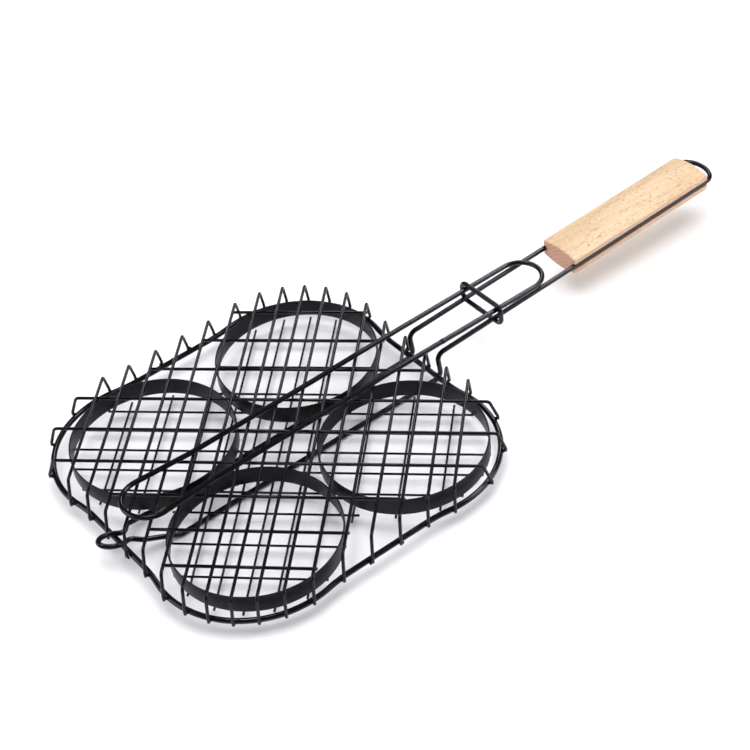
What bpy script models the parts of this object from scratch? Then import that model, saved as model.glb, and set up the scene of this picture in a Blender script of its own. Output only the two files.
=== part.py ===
"""Four-patty grill basket: wire base, four mould rings, hinged wire lid, sliding latch ring and wooden grip.

Metres, +Z up, standing on the floor at z = 0, with the handle along +X. The lid's wires run at 45 degrees
to the handle, so most of the basket is laid out in grid coordinates: u and v are turned 45 degrees from
X and Y.
"""

import math

import bmesh
import bpy
from mathutils import Vector

GAP = 0.0003
FLAT_BELOW = math.pi / 8

# Wire sizes (radii).
THICK_R = 0.0017
RIM_R = 0.00185
LID_WIRE_R = 0.00105
BASE_WIRE_R = 0.00075

# Base: handle wire, grid and moulds, in basket coordinates (x = 0 at the middle of the basket).
HANDLE_HALF_WIDTH = 0.0146
HANDLE_BEND_X = 0.1224
HANDLE_FOOT_X = 0.1240
HANDLE_BEND_Z = 0.02137
HANDLE_SLOPE = 0.0416
HANDLE_BEND_R = 0.005
TAIL_X = 0.3666
TAIL_DEPTH = 0.0098
TAPER_END_X = -0.1055
TAPER_END_Y = 0.0090
EYE_X = -0.1210
EYE_Y = -0.0014
EYE_HALF_LENGTH = 0.0092
EYE_HALF_WIDTH = 0.0061
EYE_NECK_ANGLE = math.radians(32)
EYE_SLOPE = 0.33
MOULD_R = 0.0540
MOULD_WALL = 0.0010
MOULD_HEIGHT = 0.0124
MOULD_OFFSET = 0.0567
MOULDS_SHIFT = Vector((0.0018, -0.0022, 0.0))
BASE_PITCH = 0.018
BASE_INNER_COUNT = 3
BASE_OUTER_PLACES = (0.0804, 0.1068)
BASE_CORNER_OVERHANG = 0.0045

# Lid: rim, grid and handle loop.
RIM_LOBE_R = 0.0629
RIM_VALLEY = 0.117
RIM_STRAIGHT = 0.028
RIM_ABOVE_MOULD_FOOT = 0.0020
LID_RISE = 0.0156
V_COUNT = 17
V_PITCH = 0.015
H_PITCH = 0.0288
H_SHIFT = 0.0008
H_STRAIGHT_SPANS = {2: 0.0914, 3: 0.0614, 4: 0.0464}
BEND_R = 0.0030
FLAT_INSET = 0.0012
NUB = 0.0005
LOOP_HALF_WIDTH = 0.0146
LOOP_END_HALF_WIDTH = 0.0153
LOOP_BULB_R = 0.0170
LOOP_BULB_X = -0.0911
LOOP_NECK_X = -0.0520
LOOP_END_X = 0.2061
LOOP_RISE_START_X = 0.045
LOOP_RISE_END_X = 0.080
LOOP_RISE = 0.0008

# Latch ring and wooden grip.
LATCH_X = 0.1730
LATCH_HALF_WIDTH = 0.0197
LATCH_HALF_HEIGHT = 0.0069
LATCH_CORNER_R = 0.0047
GRIP_START_X = 0.2418
GRIP_END_X = 0.3666
GRIP_HALF_WIDTH = 0.0160
GRIP_EDGE_HALF = 0.0055
GRIP_CROWN_HALF = 0.0081
GRIP_GROOVE_R = 0.0020
GRIP_CHAMFER = 0.0008

# Heights that follow from the stack of touching wires.
FLOOR_WIRE_Z = THICK_R * math.cos(FLAT_BELOW)
BASE_V_Z = FLOOR_WIRE_Z + THICK_R + GAP + BASE_WIRE_R
BASE_U_Z = BASE_V_Z + 2 * BASE_WIRE_R + GAP
MOULD_FOOT_Z = BASE_U_Z + BASE_WIRE_R + GAP
RIM_Z = MOULD_FOOT_Z + RIM_ABOVE_MOULD_FOOT
GRID_Z = RIM_Z + LID_RISE
LID_H_Z = GRID_Z - LID_WIRE_R - GAP / 2
LID_V_Z = GRID_Z + LID_WIRE_R + GAP / 2
LOOP_Z = LID_V_Z + LID_WIRE_R + GAP + THICK_R
EYE_OVER_RIM_Z = RIM_Z + (RIM_R + GAP + THICK_R) * math.hypot(1, EYE_SLOPE)
EYE_RAMP_X = -RIM_VALLEY + (EYE_OVER_RIM_Z - FLOOR_WIRE_Z) / EYE_SLOPE
WELD_OFFSET = RIM_R + LID_WIRE_R + GAP

# The origin sits under the middle of the whole object's length.
EYE_TIP_X = EYE_X - EYE_HALF_LENGTH - THICK_R
TAIL_TIP_X = TAIL_X + TAIL_DEPTH + THICK_R
BASKET_X = -(EYE_TIP_X + TAIL_TIP_X) / 2

BLACK_COAT = ("black_coat", (0.018, 0.019, 0.021), 0.42, 0.25)
MOULD_COAT = ("mould_coat", (0.030, 0.032, 0.037), 0.38, 0.35)
BEECH = ("beech", (0.74, 0.50, 0.30), 0.55, 0.0)


def clear_scene():
    for obj in list(bpy.data.objects):
        bpy.data.objects.remove(obj, do_unlink=True)


def material(spec):
    name, colour, roughness, metallic = spec
    if name in bpy.data.materials:
        return bpy.data.materials[name]
    made = bpy.data.materials.new(name)
    made.use_nodes = True
    shader = made.node_tree.nodes["Principled BSDF"]
    shader.inputs["Base Color"].default_value = (*colour, 1)
    shader.inputs["Roughness"].default_value = roughness
    shader.inputs["Metallic"].default_value = metallic
    return made


def add(name, data, spec, parent):
    obj = bpy.data.objects.new(name, data)
    data.materials.append(material(spec))
    bpy.context.scene.collection.objects.link(obj)
    if parent is not None:
        obj.parent = parent
        obj.matrix_parent_inverse = parent.matrix_world.inverted()
    return obj


def pivot(name, x, z):
    """An empty on a joint's axis. Everything that moves with the joint is its child."""
    empty = bpy.data.objects.new(name, None)
    empty.location = (x + BASKET_X, 0, z)
    empty.empty_display_size = 0.02
    bpy.context.scene.collection.objects.link(empty)
    bpy.context.view_layer.update()
    return empty


def wire(name, points, radius, parent=None, closed=False, rings=2, twist="MINIMUM"):
    """A bent wire along points in basket coordinates, with four sides and two more for each of rings."""
    curve = bpy.data.curves.new(name, "CURVE")
    curve.dimensions = "3D"
    curve.twist_mode = twist
    curve.bevel_depth = radius
    curve.bevel_resolution = rings
    curve.use_fill_caps = not closed
    spline = curve.splines.new("POLY")
    spline.points.add(len(points) - 1)
    for point, place in zip(spline.points, points):
        point.co = (place[0] + BASKET_X, place[1], place[2], 1)
        point.tilt = FLAT_BELOW
    spline.use_cyclic_u = closed
    spline.use_smooth = True
    return add(name, curve, BLACK_COAT, parent)


def from_grid(u, v, z):
    """Grid coordinates to basket coordinates."""
    half = math.sqrt(0.5)
    return Vector(((u + v) * half, (v - u) * half, z))


def rounded(points, radius, steps=3):
    """The open path through points with an arc of this radius at each bend that has room for one."""
    path = [Vector(points[0])]
    for before, corner, after in zip(points, points[1:], points[2:]):
        corner = Vector(corner)
        back = (Vector(before) - corner).normalized()
        ahead = (Vector(after) - corner).normalized()
        turn = math.pi - back.angle(ahead)
        if turn < math.radians(2):
            path.append(corner)
            continue
        middle = (back + ahead).normalized()
        centre = corner + middle * radius / math.cos(turn / 2)
        start = corner + back * radius * math.tan(turn / 2) - centre
        finish = corner + ahead * radius * math.tan(turn / 2) - centre
        for step in range(steps + 1):
            share = step / steps
            weight_start = math.sin((1 - share) * turn) / math.sin(turn)
            weight_finish = math.sin(share * turn) / math.sin(turn)
            path.append(centre + start * weight_start + finish * weight_finish)
    path.append(Vector(points[-1]))
    return path


def arc(centre_x, centre_y, radius, start, end, steps):
    """Points along an arc, both ends included."""
    angles = [start + (end - start) * step / steps for step in range(steps + 1)]
    return [(centre_x + radius * math.cos(a), centre_y + radius * math.sin(a)) for a in angles]


def rim_quarter(outset, steps):
    """A quarter of the lid's outline, moved out by outset, from the +X side's middle to the +Y side's."""
    lobe_r = RIM_LOBE_R + outset
    rise = RIM_LOBE_R - RIM_VALLEY + MOULD_OFFSET
    reach = MOULD_OFFSET - RIM_STRAIGHT
    valley_r = (reach**2 / rise - RIM_LOBE_R - RIM_VALLEY + MOULD_OFFSET) / 2
    tangent = math.atan2(reach, RIM_VALLEY + valley_r - MOULD_OFFSET)
    side = arc(
        RIM_VALLEY + valley_r, RIM_STRAIGHT, valley_r - outset, math.pi, math.pi - tangent, steps // 3
    )
    lobe = arc(MOULD_OFFSET, MOULD_OFFSET, lobe_r, -tangent, math.pi / 2 + tangent, steps)
    far_side = [(y, x) for x, y in reversed(side)]
    return side + lobe[1:-1] + far_side


def rim_outline(outset=0.0, steps=12):
    """The lid's closed four-lobed outline in basket coordinates."""
    quarter = rim_quarter(outset, steps)
    outline = []
    for turn in range(4):
        cos_turn = round(math.cos(turn * math.pi / 2))
        sin_turn = round(math.sin(turn * math.pi / 2))
        outline += [(x * cos_turn - y * sin_turn, x * sin_turn + y * cos_turn) for x, y in quarter]
    return outline


def reach_at(outline, across):
    """How far out a wire at this distance from the middle of the grid meets the outline."""
    half = math.sqrt(0.5)
    grid = [((x - y) * half, (x + y) * half) for x, y in outline]
    found = []
    for (u_a, v_a), (u_b, v_b) in zip(grid, grid[1:] + grid[:1]):
        if min(u_a, u_b) <= across <= max(u_a, u_b) and u_a != u_b:
            found.append(v_a + (v_b - v_a) * (across - u_a) / (u_b - u_a))
    return max(found)


def handle_z(x):
    return HANDLE_BEND_Z + HANDLE_SLOPE * (x - HANDLE_BEND_X)


def eye_z(x):
    return EYE_OVER_RIM_Z + EYE_SLOPE * (-RIM_VALLEY - x)


def loop_z(x):
    share = (x - LOOP_RISE_START_X) / (LOOP_RISE_END_X - LOOP_RISE_START_X)
    return LOOP_Z + LOOP_RISE * min(1.0, max(0.0, share))


def handle_strand(side):
    """One strand of the base handle wire (side 1 or -1), from the tail's tip to the eye's tip."""
    tail = []
    for step in range(1, 7):
        turn = step * math.pi / 12
        x = TAIL_X + TAIL_DEPTH * math.cos(turn)
        tail.append(Vector((x, side * HANDLE_HALF_WIDTH * math.sin(turn), handle_z(x))))
    eye = []
    for step in range(9):
        turn = EYE_NECK_ANGLE + (math.pi - EYE_NECK_ANGLE) * step / 9
        x = EYE_X + EYE_HALF_LENGTH * math.cos(turn)
        eye.append(Vector((x, EYE_Y + side * EYE_HALF_WIDTH * math.sin(turn), eye_z(x))))
    neck_x = eye[0].x + THICK_R
    bends = [
        tail[-1],
        (HANDLE_BEND_X, side * HANDLE_HALF_WIDTH, HANDLE_BEND_Z),
        (HANDLE_FOOT_X, side * HANDLE_HALF_WIDTH, FLOOR_WIRE_Z),
        (EYE_RAMP_X, side * HANDLE_HALF_WIDTH, FLOOR_WIRE_Z),
        (TAPER_END_X, side * TAPER_END_Y, eye_z(TAPER_END_X)),
        (neck_x, eye[0].y, eye_z(neck_x)),
        eye[1],
    ]
    return tail + rounded(bends, HANDLE_BEND_R, 4)[1:-1] + eye[1:]


def base_handle_wire():
    """One wire: tail loop, grip, handle, drop, run under the moulds, and the hinge eye over the lid's rim.

    Its sides keep facing up and down all along, so that a flat one meets the floor.
    """
    tail_tip = Vector((TAIL_X + TAIL_DEPTH, 0, handle_z(TAIL_X + TAIL_DEPTH)))
    eye_tip = Vector((EYE_X - EYE_HALF_LENGTH, EYE_Y, eye_z(EYE_X - EYE_HALF_LENGTH)))
    path = [tail_tip, *handle_strand(1), eye_tip, *reversed(handle_strand(-1))]
    wire("base_handle_wire", path, THICK_R, closed=True, twist="Z_UP")


def base_places():
    inner = [BASE_PITCH * step for step in range(-BASE_INNER_COUNT, BASE_INNER_COUNT + 1)]
    return sorted(inner + [sign * place for place in BASE_OUTER_PLACES for sign in (-1, 1)])


def base_span(across):
    """Half the length of a base wire: it ends at the outer walls of the moulds that it crosses."""
    corner = MOULD_OFFSET * math.sqrt(2)
    if abs(across) < BASE_PITCH * BASE_INNER_COUNT - GAP:
        return corner + math.sqrt(MOULD_R**2 - across**2)
    if abs(across) < MOULD_R + BASE_WIRE_R:
        return BASE_PITCH * BASE_INNER_COUNT + BASE_CORNER_OVERHANG
    return math.sqrt(MOULD_R**2 - (abs(across) - corner) ** 2)


def base_wire(name, start, end):
    """A straight wire of the base grid, which is welded to the moulds and sits off centre with them."""
    wire(name, [start + MOULDS_SHIFT, end + MOULDS_SHIFT], BASE_WIRE_R, rings=1)


def base_grid():
    for number, across in enumerate(base_places(), 1):
        span = base_span(across)
        long_ends = (from_grid(across, -span, BASE_V_Z), from_grid(across, span, BASE_V_Z))
        base_wire(f"base_long_wire_{number:02}", *long_ends)
        cross_ends = (from_grid(-span, across, BASE_U_Z), from_grid(span, across, BASE_U_Z))
        base_wire(f"base_cross_wire_{number:02}", *cross_ends)


def mould_ring(name, x, y, segments=48):
    """A patty mould: a round band of sheet metal, open above and below."""
    profile = [
        (MOULD_R, 0.0),
        (MOULD_R, MOULD_HEIGHT),
        (MOULD_R - MOULD_WALL, MOULD_HEIGHT),
        (MOULD_R - MOULD_WALL, 0.0),
    ]
    shape = bmesh.new()
    corners = [shape.verts.new((radius, 0, height)) for radius, height in profile]
    edges = [shape.edges.new((corners[i], corners[(i + 1) % 4])) for i in range(4)]
    shape.normal_update()
    bmesh.ops.spin(
        shape, geom=edges, axis=(0, 0, 1), cent=(0, 0, 0), angle=2 * math.pi, steps=segments, use_merge=True
    )
    bmesh.ops.remove_doubles(shape, verts=shape.verts[:], dist=0.00001)
    bmesh.ops.recalc_face_normals(shape, faces=shape.faces[:])
    mesh = bpy.data.meshes.new(name)
    shape.to_mesh(mesh)
    shape.free()
    mesh.shade_smooth()
    mesh.set_sharp_from_angle(angle=math.radians(40))
    ring = add(name, mesh, MOULD_COAT, None)
    ring.location = Vector((x + BASKET_X, y, MOULD_FOOT_Z)) + MOULDS_SHIFT


def moulds():
    places = (("near_left", 1, 1), ("near_right", 1, -1), ("far_left", -1, 1), ("far_right", -1, -1))
    for place, x_sign, y_sign in places:
        mould_ring(f"mould_ring_{place}", x_sign * MOULD_OFFSET, y_sign * MOULD_OFFSET)


def grip_profile(inset):
    """The grip's cross-section (y, z): crowned above and below, with a wire groove in each side."""
    half_width = GRIP_HALF_WIDTH - inset
    edge = GRIP_EDGE_HALF - inset
    crown = GRIP_CROWN_HALF - inset - edge
    radius = (half_width**2 + crown**2) / (2 * crown)
    lean = math.asin(half_width / radius)
    crown_arc = arc(0, 0, radius, math.pi / 2 + lean, math.pi / 2 - lean, 8)
    top = [(y, z + edge + crown - radius) for y, z in crown_arc]
    groove = arc(HANDLE_HALF_WIDTH, 0, GRIP_GROOVE_R, math.pi / 2, 3 * math.pi / 2, 6)
    side = [(half_width, GRIP_GROOVE_R), *groove, (half_width, -GRIP_GROOVE_R)]
    right = top + side
    return right + [(-y, -z) for y, z in right]


def wooden_grip():
    stations = (
        (GRIP_START_X, GRIP_CHAMFER),
        (GRIP_START_X + GRIP_CHAMFER, 0.0),
        (GRIP_END_X - GRIP_CHAMFER, 0.0),
        (GRIP_END_X, GRIP_CHAMFER),
    )
    shape = bmesh.new()
    loops = []
    for x, inset in stations:
        loops.append(
            [shape.verts.new((x + BASKET_X, y, handle_z(x) + z)) for y, z in grip_profile(inset)]
        )
    count = len(loops[0])
    for low, high in zip(loops, loops[1:]):
        for index in range(count):
            after = (index + 1) % count
            shape.faces.new((low[index], low[after], high[after], high[index]))
    shape.faces.new(loops[0])
    shape.faces.new(loops[-1])
    bmesh.ops.recalc_face_normals(shape, faces=shape.faces[:])
    mesh = bpy.data.meshes.new("wooden_grip")
    shape.to_mesh(mesh)
    shape.free()
    mesh.shade_smooth()
    mesh.set_sharp_from_angle(angle=math.radians(25))
    add("wooden_grip", mesh, BEECH, None)


def bent_profile(reach, weld_reach, z):
    """Half of a lid wire, from its welded end up to the flat: (distance from the middle, height)."""
    return [
        (weld_reach, RIM_Z - NUB),
        (weld_reach, RIM_Z + RIM_R),
        (reach - FLAT_INSET, z),
    ]


def bent_wire(name, across, z, along_v, parent):
    """A lid wire whose two ends bend down and are welded to the outside of the rim."""
    half = bent_profile(reach_at(rim_outline(steps=36), across), weld_reach_at(across), z)
    path = [(distance, height) for distance, height in half]
    path += [(-distance, height) for distance, height in reversed(half)]
    if along_v:
        points = [from_grid(across, distance, height) for distance, height in path]
    else:
        points = [from_grid(distance, across, height) for distance, height in path]
    return wire(name, rounded(points, BEND_R), LID_WIRE_R, parent, rings=1)


def weld_reach_at(across):
    return reach_at(rim_outline(WELD_OFFSET, steps=36), across)


def lid_grid(parent):
    middle = (V_COUNT + 1) // 2
    for number in range(1, V_COUNT + 1):
        across = (number - middle) * V_PITCH
        bent_wire(f"lid_long_wire_{number:02}", across, LID_V_Z, True, parent)
    for step in range(-4, 5):
        across = step * H_PITCH + H_SHIFT
        name = f"lid_cross_wire_{step + 5}"
        if abs(step) in H_STRAIGHT_SPANS:
            span = H_STRAIGHT_SPANS[abs(step)]
            points = [from_grid(-span, across, LID_H_Z), from_grid(span, across, LID_H_Z)]
            wire(name, points, LID_WIRE_R, parent, rings=1)
        else:
            bent_wire(name, across, LID_H_Z, False, parent)


def lid_rim_wire(parent):
    points = [(x, y, RIM_Z) for x, y in rim_outline()]
    wire("lid_rim_wire", points, RIM_R, parent, closed=True)


def lid_handle_loop(parent):
    """The lid's handle: one wire bent into a long loop, a little wider at its far end."""
    far = arc(LOOP_BULB_X, 0, LOOP_BULB_R, math.pi / 2, 3 * math.pi / 2, 12)
    near = arc(LOOP_END_X, 0, LOOP_END_HALF_WIDTH, -math.pi / 2, math.pi / 2, 12)
    side = [(x, LOOP_HALF_WIDTH) for x in (LOOP_RISE_END_X, LOOP_RISE_START_X, LOOP_NECK_X)]
    outline = far + [(x, -y) for x, y in reversed(side)] + near + side
    points = [(x, y, loop_z(x)) for x, y in outline]
    wire("lid_handle_loop", points, THICK_R, parent, closed=True)


def latch_ring(parent, centre_z):
    """The flat ring around the four handle wires. It slides towards the grip to free the lid."""
    corner_y = LATCH_HALF_WIDTH - LATCH_CORNER_R
    corner_z = LATCH_HALF_HEIGHT - LATCH_CORNER_R
    right = arc(corner_y, -corner_z, LATCH_CORNER_R, -math.pi / 2, 0, 4)
    right += arc(corner_y, corner_z, LATCH_CORNER_R, 0, math.pi / 2, 4)
    left = [(-y, -z) for y, z in right]
    points = [(LATCH_X, y, centre_z + z) for y, z in right + left]
    wire("latch_ring", points, THICK_R, parent, closed=True)


def build():
    clear_scene()
    base_handle_wire()
    base_grid()
    moulds()
    wooden_grip()
    hinge = pivot("lid_hinge_axis", -RIM_VALLEY, RIM_Z)
    lid_rim_wire(hinge)
    lid_grid(hinge)
    lid_handle_loop(hinge)
    latch_z = (handle_z(LATCH_X) + loop_z(LATCH_X)) / 2
    slide = pivot("latch_slide_axis", LATCH_X, latch_z)
    latch_ring(slide, latch_z)


build()
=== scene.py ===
"""The looks of the grill basket: smooth coated wires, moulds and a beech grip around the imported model.

Metres, +Z up. Sizes that repeat the design have the same names as there, and the heights of the stacked
wires come from the frame's boxes. In basket coordinates, x is counted from the middle of the lid's rim.
"""

import math
import random

import bmesh
import bpy
from mathutils import Matrix, Vector


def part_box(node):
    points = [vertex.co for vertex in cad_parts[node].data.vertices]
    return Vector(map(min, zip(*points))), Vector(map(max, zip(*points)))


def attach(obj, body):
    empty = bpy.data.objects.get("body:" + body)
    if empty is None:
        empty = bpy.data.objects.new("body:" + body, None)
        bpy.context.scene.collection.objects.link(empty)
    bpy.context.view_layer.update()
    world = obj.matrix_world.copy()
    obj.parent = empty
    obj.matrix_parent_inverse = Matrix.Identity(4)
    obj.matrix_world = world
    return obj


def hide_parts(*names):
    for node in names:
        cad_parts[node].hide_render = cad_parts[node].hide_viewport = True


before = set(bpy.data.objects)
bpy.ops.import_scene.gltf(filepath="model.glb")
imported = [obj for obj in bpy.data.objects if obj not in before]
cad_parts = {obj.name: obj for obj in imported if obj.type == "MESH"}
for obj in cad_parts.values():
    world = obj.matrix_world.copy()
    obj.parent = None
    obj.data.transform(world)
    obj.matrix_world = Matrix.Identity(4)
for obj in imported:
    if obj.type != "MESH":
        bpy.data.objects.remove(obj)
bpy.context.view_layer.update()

# Wire radii, and how round and how finely bent the wires are.
GAP = 0.0003
THICK_R = 0.0017
RIM_R = 0.00185
LID_WIRE_R = 0.00105
BASE_WIRE_R = 0.00075
THICK_SIDES = 20
THIN_SIDES = 14
BEND_STEPS = 10
PATH_SPACING = 0.0020
NEARLY_STRAIGHT = math.radians(2)

# Base handle wire.
HANDLE_HALF_WIDTH = 0.0146
HANDLE_BEND_X = 0.1224
HANDLE_FOOT_X = 0.1240
HANDLE_BEND_Z = 0.02137
HANDLE_SLOPE = 0.0416
HANDLE_BEND_R = 0.005
TAIL_X = 0.3666
TAIL_DEPTH = 0.0098
TAPER_END_X = -0.1055
TAPER_END_Y = 0.0090
EYE_X = -0.1210
EYE_Y = -0.0014
EYE_HALF_LENGTH = 0.0092
EYE_HALF_WIDTH = 0.0061
EYE_NECK_ANGLE = math.radians(32)
EYE_SLOPE = 0.33

# Moulds and lid outline.
MOULD_R = 0.0540
MOULD_WALL = 0.0010
RIM_LOBE_R = 0.0629
RIM_VALLEY = 0.117
RIM_STRAIGHT = 0.028
BEND_R = 0.0030
FLAT_INSET = 0.0012
NUB = 0.0005
WELD_OFFSET = RIM_R + LID_WIRE_R + GAP

# Lid handle loop, latch ring and grip.
LOOP_HALF_WIDTH = 0.0146
LOOP_END_HALF_WIDTH = 0.0153
LOOP_BULB_R = 0.0170
LOOP_BULB_X = -0.0911
LOOP_NECK_X = -0.0520
LOOP_END_X = 0.2061
LOOP_RISE_START_X = 0.045
LOOP_RISE_END_X = 0.080
LOOP_RISE = 0.0008
LATCH_X = 0.1730
LATCH_HALF_WIDTH = 0.0197
LATCH_HALF_HEIGHT = 0.0069
LATCH_CORNER_R = 0.0047
GRIP_START_X = 0.2418
GRIP_END_X = 0.3666
GRIP_HALF_WIDTH = 0.0160
GRIP_EDGE_HALF = 0.0055
GRIP_CROWN_HALF = 0.0081
GRIP_GROOVE_R = 0.0020

# Butt welds, which close the loops of thick wire: their places, and the finely drawn wire round them.
HANDLE_BUTT_X = 0.300
LOOP_BUTT_X = 0.128
LATCH_BUTT_Y = 0.004
BUTT_WIDTH = 0.0011
BUTT_RISE = 0.10
BUTT_ZONE = 0.004
BUTT_SPACING = 0.0003

# Weld beads between crossing wires: half length and half height.
LID_GRID_BEAD = (0.00078, 0.00078 * 0.62)
BASE_GRID_BEAD = (0.00068, 0.00068 * 0.62)
RIM_BEAD = (0.00125, 0.00075)
LOOP_BEAD = (0.00095, 0.00060)
HANDLE_BEAD = (0.0009, 0.0005)
MOULD_BEAD = (0.0008, 0.00055)
BEAD_SPREAD = (0.9, 1.12)

# A mould's butt seam: its turn from the middle of the basket, its crease, and the finely drawn wall there.
SEAM_TURN = 0.35
SEAM_DEPTH = 0.00028
SEAM_WIDTH = 0.00035
SEAM_ZONE = 0.03

# The grip's sanded edges. An end's outline is inset by this much at each distance from the end.
NEAR_END = ((0.0, 0.0009), (0.0003, 0.0004), (0.0009, 0.0))
FAR_END = ((0.0, 0.0013), (0.0003, 0.0007), (0.0009, 0.0003), (0.0020, 0.0))
SANDED_R = 0.00035
SANDED_ANGLE = math.radians(35)
SHARP_ANGLE = math.radians(40)

# The grip's growth rings: stretch along X and lean, the heart line, slant and waves, and radians per metre.
GRAIN_STRETCH = (0.045, 1.0, 1.0)
GRAIN_LEAN = (0.0, math.radians(2.0), math.radians(1.2))
HEART_Y = -0.021
HEART_Z = -0.004
GRAIN_SLANT = 0.9
GRAIN_WAVE = 0.0030
RING_RATE = 2300.0

# The main view.
CAMERA_PLACE = (-0.54677, -0.78624, 0.84183)
CAMERA_TURN = tuple(math.radians(angle) for angle in (48.408, 5.844, -37.925))
CAMERA_LENS = 92.65
SENSOR_WIDTH = 36.0


# ---------------------------------------------------------------- places from the frame


def middle(node):
    low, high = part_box(node)
    return (low + high) / 2


def nodes_named(start):
    return [name for name in sorted(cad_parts) if name.startswith(start)]


MOULD_NODES = nodes_named("mould_ring_")
BASE_LONG_NODES = nodes_named("base_long_wire_")
BASE_CROSS_NODES = nodes_named("base_cross_wire_")
LID_LONG_NODES = nodes_named("lid_long_wire_")
LID_CROSS_NODES = nodes_named("lid_cross_wire_")
BENT_CROSS_NODES = LID_CROSS_NODES[3:6]
MOULD_YS = [middle(name).y for name in MOULD_NODES]
BASKET_X = middle("lid_rim_wire").x
MOULD_OFFSET = (max(MOULD_YS) - min(MOULD_YS)) / 2
MOULD_FOOT_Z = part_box(MOULD_NODES[0])[0].z
MOULD_TOP_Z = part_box(MOULD_NODES[0])[1].z
RIM_Z = middle("lid_rim_wire").z
LID_H_Z = middle("lid_cross_wire_1").z
LID_V_Z = LID_H_Z + 2 * LID_WIRE_R + GAP
LOOP_Z = LID_V_Z + LID_WIRE_R + GAP + THICK_R
BASE_V_Z = middle("base_long_wire_06").z
BASE_U_Z = middle("base_cross_wire_06").z
FLOOR_WIRE_Z = THICK_R
EYE_OVER_RIM_Z = RIM_Z + (RIM_R + GAP + THICK_R) * math.hypot(1, EYE_SLOPE)
EYE_RAMP_X = -RIM_VALLEY + (EYE_OVER_RIM_Z - FLOOR_WIRE_Z) / EYE_SLOPE
HALF = math.sqrt(0.5)


def to_frame(point):
    """Basket coordinates to the row frame."""
    return Vector((point[0] + BASKET_X, point[1], point[2]))


def from_grid(u, v, z):
    """Grid coordinates (turned 45 degrees) to basket coordinates."""
    return Vector(((u + v) * HALF, (v - u) * HALF, z))


def grid_place(node):
    """The u and v of a node's middle."""
    centre = middle(node)
    x = centre.x - BASKET_X
    return (x - centre.y) * HALF, (x + centre.y) * HALF


def straight_half_length(node, radius):
    low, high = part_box(node)
    return (high.x - low.x) / 2 / HALF - radius


# ---------------------------------------------------------------- paths


def arc(centre_x, centre_y, radius, start, end, steps):
    """Points along an arc, both ends included."""
    angles = [start + (end - start) * step / steps for step in range(steps + 1)]
    return [(centre_x + radius * math.cos(a), centre_y + radius * math.sin(a)) for a in angles]


def rounded(points, radius, steps=BEND_STEPS):
    """The open path through points with an arc of this radius at each bend."""
    path = [Vector(points[0])]
    for before, corner, after in zip(points, points[1:], points[2:]):
        corner = Vector(corner)
        back = (Vector(before) - corner).normalized()
        ahead = (Vector(after) - corner).normalized()
        turn = math.pi - back.angle(ahead)
        if turn < NEARLY_STRAIGHT:
            path.append(corner)
            continue
        centre = corner + (back + ahead).normalized() * radius / math.cos(turn / 2)
        start = corner + back * radius * math.tan(turn / 2) - centre
        finish = corner + ahead * radius * math.tan(turn / 2) - centre
        for step in range(steps + 1):
            share = step / steps
            near = math.sin((1 - share) * turn) / math.sin(turn)
            far = math.sin(share * turn) / math.sin(turn)
            path.append(centre + start * near + finish * far)
    path.append(Vector(points[-1]))
    return path


def rim_quarter(outset, steps):
    """A quarter of the lid's outline, moved out by outset, from the +X side's middle to the +Y side's."""
    lobe_r = RIM_LOBE_R + outset
    rise = RIM_LOBE_R - RIM_VALLEY + MOULD_OFFSET
    reach = MOULD_OFFSET - RIM_STRAIGHT
    valley_r = (reach**2 / rise - RIM_LOBE_R - RIM_VALLEY + MOULD_OFFSET) / 2
    tangent = math.atan2(reach, RIM_VALLEY + valley_r - MOULD_OFFSET)
    side = arc(
        RIM_VALLEY + valley_r, RIM_STRAIGHT, valley_r - outset, math.pi, math.pi - tangent, steps // 3
    )
    lobe = arc(MOULD_OFFSET, MOULD_OFFSET, lobe_r, -tangent, math.pi / 2 + tangent, steps)
    far_side = [(y, x) for x, y in reversed(side)]
    return side + lobe[1:-1] + far_side


def rim_outline(outset=0.0, steps=48):
    """The lid's closed four-lobed outline in basket coordinates."""
    quarter = rim_quarter(outset, steps)
    outline = []
    for turn in range(4):
        cos_turn = round(math.cos(turn * math.pi / 2))
        sin_turn = round(math.sin(turn * math.pi / 2))
        outline += [(x * cos_turn - y * sin_turn, x * sin_turn + y * cos_turn) for x, y in quarter]
    return outline


RIM_LINE = rim_outline()
WELD_LINE = rim_outline(WELD_OFFSET)


def reach_at(outline, across):
    """How far out a wire at this distance from the middle of the grid meets the outline."""
    grid = [((x - y) * HALF, (x + y) * HALF) for x, y in outline]
    found = []
    for (u_a, v_a), (u_b, v_b) in zip(grid, grid[1:] + grid[:1]):
        if min(u_a, u_b) <= across <= max(u_a, u_b) and u_a != u_b:
            found.append(v_a + (v_b - v_a) * (across - u_a) / (u_b - u_a))
    return max(found)


def handle_z(x):
    return HANDLE_BEND_Z + HANDLE_SLOPE * (x - HANDLE_BEND_X)


def eye_z(x):
    return EYE_OVER_RIM_Z + EYE_SLOPE * (-RIM_VALLEY - x)


def loop_z(x):
    share = (x - LOOP_RISE_START_X) / (LOOP_RISE_END_X - LOOP_RISE_START_X)
    return LOOP_Z + LOOP_RISE * min(1.0, max(0.0, share))


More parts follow.
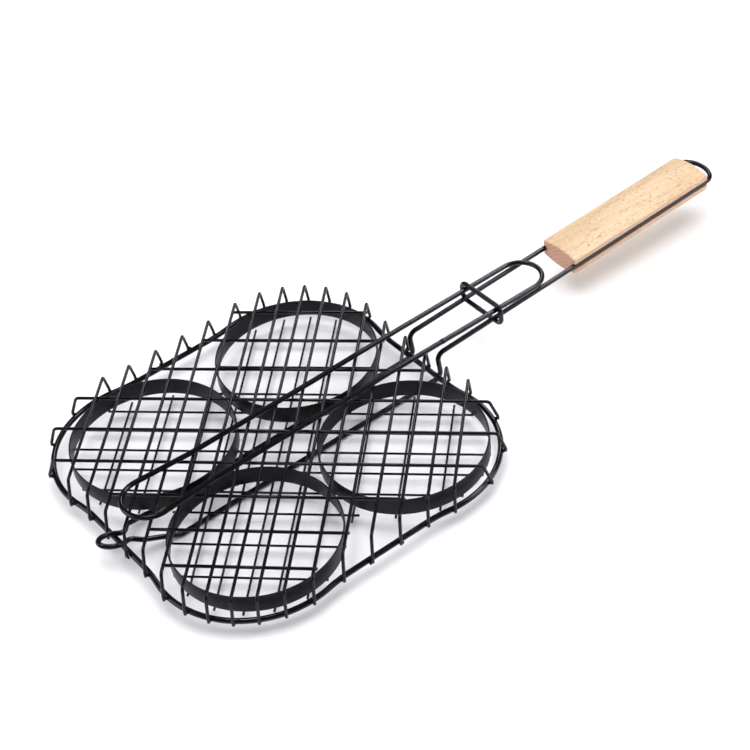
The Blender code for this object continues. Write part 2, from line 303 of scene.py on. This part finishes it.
def handle_strand(side, steps=18):
    """One strand of the base handle wire (side 1 or -1), from the tail's tip to the eye's tip."""
    tail = []
    for step in range(1, steps + 1):
        turn = step * math.pi / 2 / steps
        x = TAIL_X + TAIL_DEPTH * math.cos(turn)
        tail.append(Vector((x, side * HANDLE_HALF_WIDTH * math.sin(turn), handle_z(x))))
    eye = []
    for step in range(steps):
        turn = EYE_NECK_ANGLE + (math.pi - EYE_NECK_ANGLE) * step / steps
        x = EYE_X + EYE_HALF_LENGTH * math.cos(turn)
        eye.append(Vector((x, EYE_Y + side * EYE_HALF_WIDTH * math.sin(turn), eye_z(x))))
    joined = 3
    neck_x = eye[0].x + THICK_R
    bends = [
        tail[-1],
        (HANDLE_BEND_X, side * HANDLE_HALF_WIDTH, HANDLE_BEND_Z),
        (HANDLE_FOOT_X, side * HANDLE_HALF_WIDTH, FLOOR_WIRE_Z),
        (EYE_RAMP_X, side * HANDLE_HALF_WIDTH, FLOOR_WIRE_Z),
        (TAPER_END_X, side * TAPER_END_Y, eye_z(TAPER_END_X)),
        (neck_x, eye[0].y, eye_z(neck_x)),
        eye[joined],
    ]
    return tail + rounded(bends, HANDLE_BEND_R)[1:-1] + eye[joined:]


def base_handle_path():
    tail_tip = Vector((TAIL_X + TAIL_DEPTH, 0, handle_z(TAIL_X + TAIL_DEPTH)))
    eye_tip = Vector((EYE_X - EYE_HALF_LENGTH, EYE_Y, eye_z(EYE_X - EYE_HALF_LENGTH)))
    return [tail_tip, *handle_strand(1), eye_tip, *reversed(handle_strand(-1))]


def bent_path(across, z, along_v):
    """A lid wire whose two ends bend down outside the rim."""
    weld_reach = reach_at(WELD_LINE, across)
    reach = reach_at(RIM_LINE, across) - FLAT_INSET
    half = [(weld_reach, RIM_Z - NUB), (weld_reach, RIM_Z + RIM_R), (reach, z)]
    path = half + [(-distance, height) for distance, height in reversed(half)]
    if along_v:
        points = [from_grid(across, distance, height) for distance, height in path]
    else:
        points = [from_grid(distance, across, height) for distance, height in path]
    return rounded(points, BEND_R)


def lid_loop_path(steps=40):
    far = arc(LOOP_BULB_X, 0, LOOP_BULB_R, math.pi / 2, 3 * math.pi / 2, steps)
    near = arc(LOOP_END_X, 0, LOOP_END_HALF_WIDTH, -math.pi / 2, math.pi / 2, steps)
    side = [(x, LOOP_HALF_WIDTH) for x in (LOOP_RISE_END_X, LOOP_RISE_START_X, LOOP_NECK_X)]
    outline = far + [(x, -y) for x, y in reversed(side)] + near + side
    return [Vector((x, y, loop_z(x))) for x, y in outline]


def latch_ring_path(steps=12):
    centre_z = (handle_z(LATCH_X) + loop_z(LATCH_X)) / 2
    corner_y = LATCH_HALF_WIDTH - LATCH_CORNER_R
    corner_z = LATCH_HALF_HEIGHT - LATCH_CORNER_R
    right = arc(corner_y, -corner_z, LATCH_CORNER_R, -math.pi / 2, 0, steps)
    right += arc(corner_y, corner_z, LATCH_CORNER_R, 0, math.pi / 2, steps)
    left = [(-y, -z) for y, z in right]
    return [Vector((LATCH_X, y, centre_z + z)) for y, z in right + left]


# ---------------------------------------------------------------- meshes


def finish_piece(name, shape, material, body, nodes=()):
    """Turns a bmesh into a piece that rides on body, stands for nodes and takes its finish from material.
    """
    bmesh.ops.recalc_face_normals(shape, faces=shape.faces[:])
    mesh = bpy.data.meshes.new(name)
    shape.to_mesh(mesh)
    shape.free()
    mesh.shade_smooth()
    mesh.materials.append(material)
    piece = bpy.data.objects.new(name, mesh)
    bpy.context.scene.collection.objects.link(piece)
    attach(piece, body)
    if nodes:
        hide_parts(*nodes)
    return piece


def tangents(path, closed):
    count = len(path)
    found = []
    for index in range(count):
        before = path[index - 1] if closed or index > 0 else path[index]
        after = path[(index + 1) % count] if closed or index < count - 1 else path[index]
        into = (path[index] - before).normalized()
        out = (after - path[index]).normalized()
        found.append((into + out).normalized())
    return found


def carried_normals(directions, closed):
    """A normal at each point, carried along without twisting, with no step where a closed path shuts."""
    start = directions[0].orthogonal().normalized()
    normals = [start]
    for direction in directions[1:]:
        carried = normals[-1] - direction * normals[-1].dot(direction)
        normals.append(carried.normalized())
    if closed:
        last = normals[-1] - directions[0] * normals[-1].dot(directions[0])
        error = math.atan2(directions[0].cross(start).dot(last), start.dot(last))
        for index, direction in enumerate(directions):
            share = -error * index / len(directions)
            normals[index] = Matrix.Rotation(share, 3, direction) @ normals[index]
    return normals


# A cut wire end's rounding, in radii: places counted back from the full width, and the width there.
CUT_END = ((0.30, 0.72), (0.12, 0.92), (0.0, 1.0))


def end_rings(path, radius):
    """An open path with extra points at its ends, where the cut end's edge is a little rounded."""
    first = (path[1] - path[0]).normalized()
    last = (path[-2] - path[-1]).normalized()
    ahead = [path[0] + first * radius * (CUT_END[0][0] - depth) for depth, _ in CUT_END]
    behind = [path[-1] + last * radius * (CUT_END[0][0] - depth) for depth, _ in reversed(CUT_END)]
    widths = [share for _, share in CUT_END]
    radii = [radius * share for share in widths] + [radius] * (len(path) - 2)
    radii += [radius * share for share in reversed(widths)]
    return ahead + path[1:-1] + behind, radii


def add_tube(shape, path, radius, closed=False, sides=THICK_SIDES, swell=None):
    """Adds a round wire along path to shape. swell is a function of the point that thickens the wire."""
    path = [to_frame(point) for point in path]
    if closed:
        radii = [radius] * len(path)
    else:
        path, radii = end_rings(path, radius)
    if swell:
        radii = [size * swell(point) for size, point in zip(radii, path)]
    directions = tangents(path, closed)
    normals = carried_normals(directions, closed)
    loops = []
    for point, direction, normal, size in zip(path, directions, normals, radii):
        across = direction.cross(normal)
        loop = []
        for side in range(sides):
            turn = 2 * math.pi * side / sides
            loop.append(shape.verts.new(point + (normal * math.cos(turn) + across * math.sin(turn)) * size))
        loops.append(loop)
    pairs = list(zip(loops, loops[1:]))
    if closed:
        pairs.append((loops[-1], loops[0]))
    for low, high in pairs:
        for side in range(sides):
            after = (side + 1) % sides
            shape.faces.new((low[side], low[after], high[after], high[side]))
    if not closed:
        shape.faces.new(list(reversed(loops[0])))
        shape.faces.new(loops[-1])


def butt_weld(place):
    """The slight collar where a closed wire's two ends were butt-welded."""
    centre = to_frame(place)
    return lambda point: 1 + BUTT_RISE * math.exp(-((point - centre).length / BUTT_WIDTH) ** 2)


def refine(path, spacing):
    """The same path with points no further apart than spacing."""
    fine = []
    for start, end in zip(path, path[1:]):
        parts = max(1, math.ceil((end - start).length / spacing))
        fine += [start.lerp(end, part / parts) for part in range(parts)]
    return fine + [path[-1]]


# ---------------------------------------------------------------- materials


def node(tree, kind, inputs=None, **settings):
    """A shader node. An input is a value, or the socket that feeds it."""
    made = tree.nodes.new("ShaderNode" + kind)
    for key, value in settings.items():
        setattr(made, key, value)
    for key, value in (inputs or {}).items():
        if isinstance(value, bpy.types.NodeSocket):
            tree.links.new(value, made.inputs[key])
        else:
            made.inputs[key].default_value = value
    return made


def ramp(tree, factor, stops):
    """A colour ramp. stops are (place, colour) with a colour of three numbers or one grey."""
    made = node(tree, "ValToRGB", {"Fac": factor})
    elements = made.color_ramp.elements
    for index, (place, colour) in enumerate(stops):
        element = elements[index] if index < len(elements) else elements.new(place)
        element.position = place
        grey = isinstance(colour, (int, float))
        element.color = (colour, colour, colour, 1) if grey else (*colour, 1)
    return made.outputs["Color"]


def noise(tree, where, scale, detail=3.0, roughness=0.5):
    inputs = {"Vector": where, "Scale": scale, "Detail": detail, "Roughness": roughness}
    return node(tree, "TexNoise", inputs).outputs["Fac"]


def stretched(tree, where, scale, turn=(0, 0, 0)):
    return node(tree, "Mapping", {"Vector": where, "Scale": scale, "Rotation": turn}).outputs["Vector"]


def math_of(tree, operation, *values):
    made = node(tree, "Math", operation=operation)
    for socket, value in zip(made.inputs, values):
        if isinstance(value, bpy.types.NodeSocket):
            tree.links.new(value, socket)
        else:
            socket.default_value = value
    return made.outputs["Value"]


def mixed(tree, factor, first, second, blend="MIX"):
    made = node(tree, "Mix", data_type="RGBA", blend_type=blend)
    for index, value in ((0, factor), (6, first), (7, second)):
        if isinstance(value, bpy.types.NodeSocket):
            tree.links.new(value, made.inputs[index])
        else:
            made.inputs[index].default_value = (*value, 1) if isinstance(value, tuple) else value
    return made.outputs[2]


def bump(tree, height, distance, strength=1.0, below=None):
    inputs = {"Height": height, "Distance": distance, "Strength": strength}
    if below is not None:
        inputs["Normal"] = below
    return node(tree, "Bump", inputs).outputs["Normal"]


def new_material(name):
    material = bpy.data.materials.new(name)
    material.use_nodes = True
    return material, material.node_tree, material.node_tree.nodes["Principled BSDF"]


def coat_material(name, deep, pale, gloss, specular, peel):
    """Satin non-stick coating on steel: a cloudy dark colour, an orange-peel skin, dust and patches."""
    material, tree, shader = new_material(name)
    where = node(tree, "TexCoord").outputs["Object"]
    cloud = noise(tree, where, 140.0, 4.0, 0.6)
    fine = noise(tree, where, 2300.0, 2.0, 0.55)
    skin = noise(tree, where, 1150.0, 2.5, 0.5)
    swell = noise(tree, where, 210.0, 2.0, 0.5)
    colour = ramp(tree, cloud, [(0.30, deep), (0.72, pale)])
    dust = ramp(tree, fine, [(0.66, 0.0), (0.74, 0.35)])
    dusty = mixed(tree, dust, colour, tuple(1.9 * channel + 0.012 for channel in pale))
    shader.inputs["Specular IOR Level"].default_value = specular
    tree.links.new(dusty, shader.inputs["Base Color"])
    low, high = gloss
    patches = math_of(tree, "MULTIPLY_ADD", cloud, high - low, low)
    tree.links.new(math_of(tree, "MULTIPLY_ADD", fine, 0.08, patches), shader.inputs["Roughness"])
    waves = bump(tree, swell, 0.00005, 0.6)
    tree.links.new(bump(tree, skin, peel, 0.8, waves), shader.inputs["Normal"])
    return material


def grain_field(tree, where):
    """Beech growth rings: distance from a heart line below the grip and beside it, a little wavy."""
    leaned = stretched(tree, where, GRAIN_STRETCH, GRAIN_LEAN)
    wobble = noise(tree, stretched(tree, where, (9.0, 60.0, 60.0)), 1.0, 3.0, 0.5)
    parts = node(tree, "SeparateXYZ", {"Vector": leaned})
    across = math_of(tree, "SUBTRACT", parts.outputs["Y"], HEART_Y)
    up = math_of(tree, "SUBTRACT", parts.outputs["Z"], HEART_Z)
    span = math_of(tree, "POWER", across, 2.0)
    rise = math_of(tree, "POWER", up, 2.0)
    distance = math_of(tree, "SQRT", math_of(tree, "ADD", span, rise))
    along = math_of(tree, "MULTIPLY", parts.outputs["X"], GRAIN_SLANT)
    return math_of(tree, "MULTIPLY_ADD", wobble, GRAIN_WAVE, math_of(tree, "ADD", distance, along))


def beech_material():
    """Sanded, oiled beech: rings, long fibres, short dark ray flecks, pinker end grain, and painted shade
    that tints the sides a darker pink.
    """
    material, tree, shader = new_material("oiled_beech")
    coords = node(tree, "TexCoord")
    where = coords.outputs["Object"]
    rings = math_of(tree, "SINE", math_of(tree, "MULTIPLY", grain_field(tree, where), RING_RATE))
    rings = math_of(tree, "MULTIPLY_ADD", rings, 0.5, 0.5)
    fibre = noise(tree, stretched(tree, where, (22.0, 900.0, 900.0)), 1.0, 4.0, 0.6)
    broad = noise(tree, stretched(tree, where, (12.0, 130.0, 130.0)), 1.0, 3.0, 0.55)
    flecks = noise(tree, stretched(tree, where, (330.0, 1900.0, 1900.0)), 1.0, 1.5, 0.4)
    clumps = noise(tree, stretched(tree, where, (40.0, 190.0, 190.0)), 1.0, 2.0, 0.5)
    pores = noise(tree, stretched(tree, where, (700.0, 7000.0, 7000.0)), 1.0, 2.0, 0.5)
    tan, cream, pale = (0.618, 0.440, 0.268), (0.660, 0.495, 0.315), (0.695, 0.545, 0.365)
    wood = ramp(tree, broad, [(0.28, tan), (0.50, cream), (0.75, pale)])
    late_wood, early_wood = (0.90, 0.84, 0.78), (1.03, 1.03, 1.02)
    ring_tone = ramp(tree, rings, [(0.0, late_wood), (0.45, (1.0, 1.0, 1.0)), (1.0, early_wood)])
    wood = mixed(tree, 0.35, wood, ring_tone, "MULTIPLY")
    fibre_tone = ramp(tree, fibre, [(0.30, (0.86, 0.79, 0.70)), (0.62, (1.0, 1.0, 1.0))])
    wood = mixed(tree, 0.45, wood, fibre_tone, "MULTIPLY")
    dense = math_of(tree, "MULTIPLY", ramp(tree, flecks, [(0.57, 0.0), (0.63, 1.0)]),
                    ramp(tree, clumps, [(0.36, 0.25), (0.56, 1.0)]))
    wood = mixed(tree, math_of(tree, "MULTIPLY", dense, 0.85), wood, (0.36, 0.18, 0.080))
    wood = mixed(tree, ramp(tree, pores, [(0.64, 0.0), (0.72, 0.35)]), wood, (0.50, 0.27, 0.12))
    facing = node(tree, "SeparateXYZ", {"Vector": coords.outputs["Normal"]})
    end_face = math_of(tree, "ABSOLUTE", facing.outputs["X"])
    end_mask = ramp(tree, end_face, [(0.75, 0.0), (0.93, 1.0)])
    # Painted shade: faces turned to either side are mixed towards a darker pinkish brown, as if shaded from
    # the light above.
    side_face = math_of(tree, "ABSOLUTE", facing.outputs["Y"])
    painted_side_shade = ramp(tree, side_face, [(0.55, 0.0), (0.90, 0.6)])
    wood = mixed(tree, painted_side_shade, wood, (0.62, 0.37, 0.27))
    speckle = noise(tree, where, 2600.0, 2.0, 0.6)
    rust, brick, rose = (0.555, 0.298, 0.190), (0.615, 0.335, 0.215), (0.650, 0.362, 0.236)
    end_wood = ramp(tree, rings, [(0.0, rust), (0.6, brick), (1.0, rose)])
    end_wood = mixed(tree, 0.5, end_wood, ramp(tree, speckle, [(0.35, 0.70), (0.6, 1.0)]), "MULTIPLY")
    colour = mixed(tree, end_mask, wood, end_wood)
    tree.links.new(colour, shader.inputs["Base Color"])
    tree.links.new(math_of(tree, "MULTIPLY_ADD", fibre, 0.16, 0.42), shader.inputs["Roughness"])
    shader.inputs["Specular IOR Level"].default_value = 0.35
    shader.inputs["Coat Weight"].default_value = 0.06
    shader.inputs["Coat Roughness"].default_value = 0.35
    ridges = bump(tree, fibre, 0.00010, 0.55)
    dents = bump(tree, dense, -0.00012, 0.5, ridges)
    tree.links.new(bump(tree, pores, 0.00006, 0.4, dents), shader.inputs["Normal"])
    return material


def floor_material():
    material, tree, shader = new_material("studio_floor")
    where = node(tree, "TexCoord").outputs["Object"]
    tone = noise(tree, where, 3.0, 2.0)
    tree.links.new(ramp(tree, tone, [(0.3, (0.88, 0.88, 0.89)), (0.7, (0.90, 0.90, 0.91))]),
                   shader.inputs["Base Color"])
    shader.inputs["Roughness"].default_value = 0.9
    shader.inputs["Specular IOR Level"].default_value = 0.1
    return material


COAT = coat_material(
    "satin_black_coat", (0.0022, 0.0022, 0.0030), (0.0055, 0.0055, 0.0072), (0.12, 0.20), 0.32, 0.000014
)
MOULD_COAT = coat_material(
    "charcoal_mould_coat", (0.0040, 0.0042, 0.0062), (0.0085, 0.0087, 0.0125), (0.30, 0.42), 0.22, 0.00002
)
BEECH = beech_material()


# ---------------------------------------------------------------- pieces


def wire_piece(node_name, path, radius, body, closed=False, sides=THICK_SIDES, swell=None):
    shape = bmesh.new()
    add_tube(shape, path, radius, closed, sides, swell)
    return finish_piece(node_name + "_fine", shape, COAT, body, [node_name])


def closed_wire(node_name, path, radius, body, joint):
    """A closed wire with a butt weld at joint, one of the path's places in basket coordinates."""
    fine = refine([Vector(point) for point in path] + [Vector(path[0])], PATH_SPACING)[:-1]
    near = [point for point in fine if (point - Vector(joint)).length < BUTT_ZONE]
    start = fine.index(near[0])
    turned = fine[start:] + fine[:start]
    close = refine(turned[: len(near) + 1], BUTT_SPACING)
    rest = turned[len(near) + 1:]
    return wire_piece(node_name, close + rest, radius, body, True, swell=butt_weld(joint))


def base_wires():
    joint = (HANDLE_BUTT_X, HANDLE_HALF_WIDTH, handle_z(HANDLE_BUTT_X))
    closed_wire("base_handle_wire", base_handle_path(), THICK_R, "base", joint)
    for name in BASE_CROSS_NODES + BASE_LONG_NODES:
        half_length = straight_half_length(name, BASE_WIRE_R)
        u, v = grid_place(name)
        z = middle(name).z
        if name in BASE_LONG_NODES:
            ends = [from_grid(u, v - half_length, z), from_grid(u, v + half_length, z)]
        else:
            ends = [from_grid(u - half_length, v, z), from_grid(u + half_length, v, z)]
        wire_piece(name, ends, BASE_WIRE_R, "base", sides=THIN_SIDES)


def lid_wires():
    rim = [Vector((x, y, RIM_Z)) for x, y in RIM_LINE]
    closed_wire("lid_rim_wire", rim, RIM_R, "lid", (0.0, RIM_VALLEY, RIM_Z))
    joint = (LOOP_BUTT_X, -LOOP_HALF_WIDTH, loop_z(LOOP_BUTT_X))
    closed_wire("lid_handle_loop", lid_loop_path(), THICK_R, "lid", joint)
    for name in LID_CROSS_NODES + LID_LONG_NODES:
        if name in LID_LONG_NODES:
            path = bent_path(grid_place(name)[0], LID_V_Z, True)
        elif name in BENT_CROSS_NODES:
            path = bent_path(grid_place(name)[1], LID_H_Z, False)
        else:
            half_length = straight_half_length(name, LID_WIRE_R)
            v = grid_place(name)[1]
            path = [from_grid(-half_length, v, LID_H_Z), from_grid(half_length, v, LID_H_Z)]
        wire_piece(name, path, LID_WIRE_R, "lid", sides=THIN_SIDES)


def latch_ring():
    path = latch_ring_path()
    joint = (LATCH_X, LATCH_BUTT_Y, min(point.z for point in path))
    closed_wire("latch_ring", path, THICK_R, "latch_ring", joint)


def mould_profile(steps=8):
    """The band's cross-section (radius, height), with its two cut edges rounded over."""
    half = MOULD_WALL / 2
    top = arc(MOULD_R - half, MOULD_TOP_Z - half, half, 0, math.pi, steps)
    bottom = arc(MOULD_R - half, MOULD_FOOT_Z + half, half, math.pi, 2 * math.pi, steps)
    return top + bottom


def mould_turns(seam, coarse=120, fine=16):
    """Angles round a mould, close together at the seam."""
    turns = [2 * math.pi * step / coarse for step in range(coarse)]
    turns += [seam + SEAM_ZONE * (step + 0.5 - fine / 2) / fine for step in range(fine)]
    return sorted(set(turn % (2 * math.pi) for turn in turns))


def mould_piece(name):
    """A bent sheet-metal band. Its butt seam, a shallow crease, faces the middle of the basket."""
    centre = middle(name)
    seam = math.atan2(-centre.y, BASKET_X - centre.x) % (2 * math.pi) + SEAM_TURN
    shape = bmesh.new()
    loops = []
    for turn in mould_turns(seam):
        crease = SEAM_DEPTH * math.exp(-(((turn - seam) * MOULD_R / SEAM_WIDTH) ** 2))
        loop = []
        for radius, z in mould_profile():
            side = 1 if radius > MOULD_R - MOULD_WALL / 2 else -1
            out = radius - side * crease
            place = (centre.x + out * math.cos(turn), centre.y + out * math.sin(turn), z)
            loop.append(shape.verts.new(place))
        loops.append(loop)
    count = len(loops[0])
    for low, high in zip(loops, loops[1:] + loops[:1]):
        for index in range(count):
            after = (index + 1) % count
            shape.faces.new((low[index], low[after], high[after], high[index]))
    finish_piece(name + "_fine", shape, MOULD_COAT, "base", [name])


def grip_profile(inset, steps=28):
    """The grip's cross-section (y, z): crowned above and below, with a wire groove in each side."""
    half_width = GRIP_HALF_WIDTH - inset
    edge = GRIP_EDGE_HALF - inset
    crown = GRIP_CROWN_HALF - inset - edge
    radius = (half_width**2 + crown**2) / (2 * crown)
    lean = math.asin(half_width / radius)
    crown_arc = arc(0, 0, radius, math.pi / 2 + lean, math.pi / 2 - lean, steps)
    top = [(y, z + edge + crown - radius) for y, z in crown_arc]
    groove = arc(HANDLE_HALF_WIDTH, 0, GRIP_GROOVE_R, math.pi / 2, 3 * math.pi / 2, steps // 2)
    side = [(half_width, GRIP_GROOVE_R), *groove, (half_width, -GRIP_GROOVE_R)]
    right = top + side
    return right + [(-y, -z) for y, z in right]


def wooden_grip():
    near = [(GRIP_START_X + distance, inset) for distance, inset in NEAR_END]
    far = [(GRIP_END_X - distance, inset) for distance, inset in reversed(FAR_END)]
    shape = bmesh.new()
    loops = []
    for x, inset in near + far:
        places = [(x + BASKET_X, y, handle_z(x) + z) for y, z in grip_profile(inset)]
        loops.append([shape.verts.new(place) for place in places])
    count = len(loops[0])
    for low, high in zip(loops, loops[1:]):
        for index in range(count):
            after = (index + 1) % count
            shape.faces.new((low[index], low[after], high[after], high[index]))
    shape.faces.new(loops[0])
    shape.faces.new(loops[-1])
    piece = finish_piece("wooden_grip_fine", shape, BEECH, "base", ["wooden_grip"])
    piece.data.set_sharp_from_angle(angle=SHARP_ANGLE)
    edges = piece.modifiers.new("sanded_edges", "BEVEL")
    edges.width = SANDED_R
    edges.segments = 3
    edges.limit_method = "ANGLE"
    edges.angle_limit = SANDED_ANGLE


# ---------------------------------------------------------------- welds

WELD_RANDOM = random.Random(5)


def add_bead(shape, place, along, across, bead):
    """A small flattened weld between two wires that run along and across it."""
    size, height = bead
    along = Vector(along).normalized()
    across = Vector(across).normalized()
    normal = along.cross(across).normalized()
    spread = size * WELD_RANDOM.uniform(*BEAD_SPREAD)
    turn = Matrix((along * spread, across * spread, normal * height)).transposed().to_4x4()
    turn.translation = to_frame(place)
    bmesh.ops.create_icosphere(shape, subdivisions=2, radius=1.0, matrix=turn)


def crossings(path, across, by_u=True):
    """Where a path meets the grid line u = across (or v = across), in basket coordinates."""
    found = []
    for start, end in zip(path, path[1:] + path[:1]):
        if by_u:
            near, far = (start.x - start.y) * HALF, (end.x - end.y) * HALF
        else:
            near, far = (start.x + start.y) * HALF, (end.x + end.y) * HALF
        if min(near, far) <= across < max(near, far):
            found.append((start.lerp(end, (across - near) / (far - near)), (end - start).normalized()))
    return found


LONG_WAY = from_grid(0, 1, 0)
CROSS_WAY = from_grid(1, 0, 0)
UP = (0, 0, 1)


def flat_reach(name):
    """Half the length of a lid wire's flat stretch."""
    if name in LID_LONG_NODES:
        return reach_at(RIM_LINE, grid_place(name)[0]) - FLAT_INSET
    if name in BENT_CROSS_NODES:
        return reach_at(RIM_LINE, grid_place(name)[1]) - FLAT_INSET
    return straight_half_length(name, LID_WIRE_R)


def add_grid_beads(shape, long_names, cross_names, reach, z, bead):
    """A weld at each crossing that both wires reach. reach gives half a wire's length."""
    for long_name in long_names:
        u = grid_place(long_name)[0]
        for cross_name in cross_names:
            v = grid_place(cross_name)[1]
            inside = abs(v - grid_place(long_name)[1]) < reach(long_name)
            if inside and abs(u - grid_place(cross_name)[0]) < reach(cross_name):
                add_bead(shape, from_grid(u, v, z), LONG_WAY, CROSS_WAY, bead)


def add_rim_beads(shape, across, along_v):
    """The two welds of a bent lid wire to the outside of the rim."""
    line = [Vector((x, y, RIM_Z)) for x, y in WELD_LINE]
    rim = [Vector((x, y, RIM_Z)) for x, y in RIM_LINE]
    share = (RIM_R + GAP / 2) / WELD_OFFSET
    for place, tangent in crossings(line, across, along_v):
        nearest = min(rim, key=lambda point: (point - place).length)
        out = (place - nearest).normalized()
        add_bead(shape, place - out * WELD_OFFSET * (1 - share), tangent, UP, RIM_BEAD)


def lid_welds():
    shape = bmesh.new()
    grid_z = (LID_H_Z + LID_V_Z) / 2
    add_grid_beads(shape, LID_LONG_NODES, LID_CROSS_NODES, flat_reach, grid_z, LID_GRID_BEAD)
    for name in LID_LONG_NODES:
        add_rim_beads(shape, grid_place(name)[0], True)
    for name in BENT_CROSS_NODES:
        add_rim_beads(shape, grid_place(name)[1], False)
    z = LID_V_Z + LID_WIRE_R + GAP / 2
    for name in LID_LONG_NODES:
        u = grid_place(name)[0]
        for place, tangent in crossings(lid_loop_path(), u):
            if abs(place.x + place.y) * HALF < flat_reach(name):
                flat = Vector((tangent.x, tangent.y, 0))
                add_bead(shape, (place.x, place.y, z), flat, flat.cross(UP), LOOP_BEAD)
    finish_piece("lid_welds", shape, COAT, "lid")


def base_reach(name):
    return straight_half_length(name, BASE_WIRE_R)


def add_handle_beads(shape):
    """The welds of the base's long wires to the handle wire under them."""
    contact_z = (FLOOR_WIRE_Z + THICK_R + BASE_V_Z - BASE_WIRE_R) / 2
    for name in BASE_LONG_NODES:
        u, middle_v = grid_place(name)
        for place, tangent in crossings(base_handle_path(), u):
            on_floor = place.z < FLOOR_WIRE_Z + THICK_R / 4
            if on_floor and abs((place.x + place.y) * HALF - middle_v) < base_reach(name):
                contact = (place.x, place.y, contact_z)
                add_bead(shape, contact, tangent, tangent.cross(UP), HANDLE_BEAD)


def add_mould_beads(shape, mould, steps=96):
    """The welds of a mould's lower edge to the base's cross wires."""
    centre = middle(mould)
    edge = arc(centre.x - BASKET_X, centre.y, MOULD_R - MOULD_WALL / 2, 0, 2 * math.pi, steps)
    circle = [Vector((x, y, MOULD_FOOT_Z)) for x, y in edge[:-1]]
    for name in BASE_CROSS_NODES:
        middle_u, v = grid_place(name)
        for place, tangent in crossings(circle, v, by_u=False):
            if abs((place.x - place.y) * HALF - middle_u) < base_reach(name) + BASE_WIRE_R:
                add_bead(shape, place, tangent, tangent.cross(UP), MOULD_BEAD)


def base_welds():
    shape = bmesh.new()
    grid_z = (BASE_V_Z + BASE_U_Z) / 2
    add_grid_beads(shape, BASE_LONG_NODES, BASE_CROSS_NODES, base_reach, grid_z, BASE_GRID_BEAD)
    add_handle_beads(shape)
    for mould in MOULD_NODES:
        add_mould_beads(shape, mould)
    finish_piece("base_welds", shape, COAT, "base")


# ---------------------------------------------------------------- studio

FLOOR_HALF_SIZE = 6.0
ORIGIN = (0.0, 0.0, 0.0)
BASKET = (-0.1, 0.0, 0.02)
WHITE = (1.0, 1.0, 1.0)
COOL = (0.97, 0.97, 1.0)
VIOLET = (0.98, 0.96, 1.10)
WORLD_COLOUR = (0.95, 0.94, 1.0, 1)
WORLD_STRENGTH = 0.32
EVEN_ONLY = (True, False)
GLOSS_ONLY = (False, True)


def studio_floor():
    shape = bmesh.new()
    bmesh.ops.create_grid(shape, x_segments=8, y_segments=8, size=FLOOR_HALF_SIZE)
    mesh = bpy.data.meshes.new("studio_floor")
    shape.to_mesh(mesh)
    shape.free()
    mesh.materials.append(floor_material())
    floor = bpy.data.objects.new("studio_floor", mesh)
    bpy.context.scene.collection.objects.link(floor)


def soft_light(name, place, aim, size, power, colour, seen=(True, True)):
    """A rectangular lamp. seen says whether it lights surfaces evenly and whether it shows in gloss."""
    lamp = bpy.data.lights.new(name, "AREA")
    lamp.shape = "RECTANGLE"
    lamp.size, lamp.size_y = size
    lamp.energy = power
    lamp.color = colour
    holder = bpy.data.objects.new(name, lamp)
    holder.location = place
    holder.rotation_euler = (Vector(aim) - Vector(place)).to_track_quat("-Z", "Y").to_euler()
    holder.visible_diffuse, holder.visible_glossy = seen
    bpy.context.scene.collection.objects.link(holder)


def studio():
    studio_floor()
    soft_light("top_softbox", (0.10, 0.15, 1.35), ORIGIN, (1.7, 1.4), 26.0, WHITE, EVEN_ONLY)
    soft_light("handle_streak", (0.65, -0.12, 1.15), ORIGIN, (0.28, 0.26), 6.8, VIOLET, GLOSS_ONLY)
    soft_light("long_wire_streak", (0.65, 0.65, 0.85), BASKET, (0.32, 0.32), 3.8, VIOLET, GLOSS_ONLY)
    soft_light("cross_wire_streak", (-0.20, 0.20, 1.25), BASKET, (0.30, 0.26), 5.0, VIOLET, GLOSS_ONLY)
    soft_light("right_softbox", (0.95, -0.85, 0.55), BASKET, (0.8, 0.6), 8.5, COOL)
    soft_light("left_softbox", (-1.15, 0.55, 0.55), BASKET, (0.8, 0.6), 6.0, COOL)
    world = bpy.data.worlds.new("studio_world")
    world.use_nodes = True
    background = world.node_tree.nodes["Background"]
    background.inputs["Color"].default_value = WORLD_COLOUR
    background.inputs["Strength"].default_value = WORLD_STRENGTH
    world.cycles_visibility.glossy = False
    bpy.context.scene.world = world
    bpy.context.scene.view_settings.view_transform = "Standard"


def photo_camera():
    data = bpy.data.cameras.new("photo_camera")
    data.sensor_width = SENSOR_WIDTH
    data.lens = CAMERA_LENS
    data.clip_start = 0.05
    data.clip_end = 50.0
    camera = bpy.data.objects.new("photo_camera", data)
    camera.location = CAMERA_PLACE
    camera.rotation_euler = CAMERA_TURN
    bpy.context.scene.collection.objects.link(camera)
    bpy.context.scene.camera = camera


photo_camera()
base_wires()
lid_wires()
latch_ring()
for mould_node in MOULD_NODES:
    mould_piece(mould_node)
wooden_grip()
lid_welds()
base_welds()
studio()
